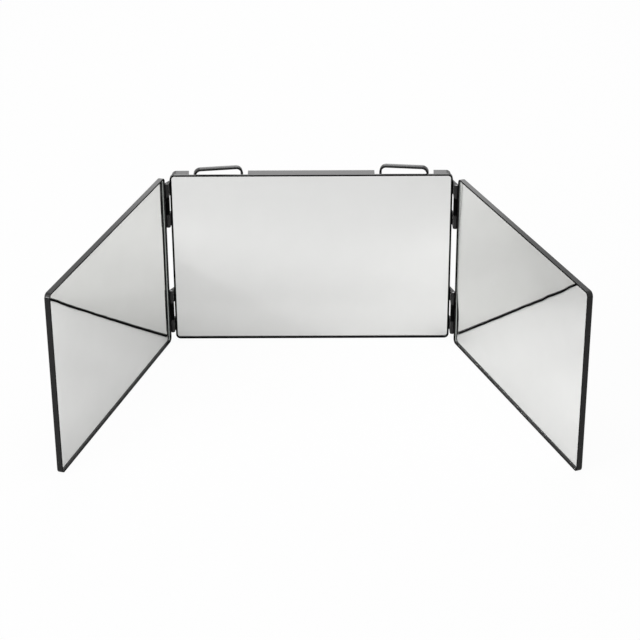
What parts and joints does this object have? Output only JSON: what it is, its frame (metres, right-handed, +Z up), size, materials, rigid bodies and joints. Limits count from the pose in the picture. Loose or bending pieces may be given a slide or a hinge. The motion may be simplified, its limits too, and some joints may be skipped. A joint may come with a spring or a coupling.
{
  "type": "trifold vanity mirror",
  "caption": "Folding vanity mirror: thin mirrored wings hinge on a centre panel, whose back housing holds telescoping rods with swivelling hooks for a door's top edge.",
  "frame": {"origin": "middle of the centre panel's bottom edge, halfway through its depth, on the surface that it stands on", "axes": "+Z up, +X to the viewer's right along the centre panel, +Y to the back; the mirrors face -Y"},
  "size_m": [0.4934, 0.294, 0.1937],
  "materials": {
    "black_frame_plastic": "satin moulded black ABS",
    "mirror_glass": "silvered float glass with a small edge bevel",
    "adhesive_foam": "white double-sided foam sheet",
    "pin_steel": "plain drawn steel",
    "screw_steel": "black oxide",
    "rod_steel": "polished plated steel",
    "black_nylon": "natural moulded nylon, black",
    "black_hook_steel": "satin black paint on formed steel strip"
  },
  "bodies": {
    "centre_panel": {"centre_front_frame": "black_frame_plastic", "centre_back_housing": "black_frame_plastic", "lower_left_hinge_block": "black_frame_plastic", "upper_left_hinge_block": "black_frame_plastic", "lower_right_hinge_block": "black_frame_plastic", "upper_right_hinge_block": "black_frame_plastic", "centre_mirror": "mirror_glass", "centre_adhesive_sheet": "adhesive_foam", "lower_left_hinge_pin": "pin_steel", "upper_left_hinge_pin": "pin_steel", "lower_right_hinge_pin": "pin_steel", "upper_right_hinge_pin": "pin_steel", "housing_screws": "screw_steel", "tube_clamp_screws": "screw_steel", "left_outer_tube": "rod_steel", "left_tube_bush": "black_nylon", "left_tube_plug": "black_nylon", "left_tube_clamps": "black_nylon", "right_outer_tube": "rod_steel", "right_tube_bush": "black_nylon", "right_tube_plug": "black_nylon", "right_tube_clamps": "black_nylon"},
    "left_wing": {"left_wing_frame": "black_frame_plastic", "left_wing_mirror": "mirror_glass", "left_wing_adhesive_sheet": "adhesive_foam"},
    "right_wing": {"right_wing_frame": "black_frame_plastic", "right_wing_mirror": "mirror_glass", "right_wing_adhesive_sheet": "adhesive_foam"},
    "left_rod": {"left_hook_rod": "rod_steel", "left_rod_guide": "black_nylon"},
    "left_hook": {"left_door_hook": "black_hook_steel", "left_hook_ferrule": "black_hook_steel"},
    "right_rod": {"right_hook_rod": "rod_steel", "right_rod_guide": "black_nylon"},
    "right_hook": {"right_door_hook": "black_hook_steel", "right_hook_ferrule": "black_hook_steel"}
  },
  "joints": [
    {"name": "left_wing_hinge", "type": "hinge", "parent": "centre_panel", "child": "left_wing", "pos_m": [-0.148, -0.0086, 0.094], "axis": [0, 0, 1], "range_deg": [-72.8, 107.2]},
    {"name": "right_wing_hinge", "type": "hinge", "parent": "centre_panel", "child": "right_wing", "pos_m": [0.148, -0.0145, 0.094], "axis": [0, 0, -1], "range_deg": [-69.3, 110.7]},
    {"name": "left_rod_slide", "type": "slide", "parent": "centre_panel", "child": "left_rod", "axis": [0, 0, 1], "range_m": [-0.0041, 0.1109]},
    {"name": "right_rod_slide", "type": "slide", "parent": "centre_panel", "child": "right_rod", "axis": [0, 0, 1], "range_m": [-0.0057, 0.1093]},
    {"name": "left_hook_swivel", "type": "hinge", "parent": "left_rod", "child": "left_hook", "pos_m": [-0.1194, 0.0015, 0.165], "axis": [0, 0, 1], "range_deg": [-8.3, 81.7]},
    {"name": "right_hook_swivel", "type": "hinge", "parent": "right_rod", "child": "right_hook", "pos_m": [0.1194, 0.0015, 0.167], "axis": [0, 0, -1], "range_deg": [-6.7, 83.3]}
  ]
}
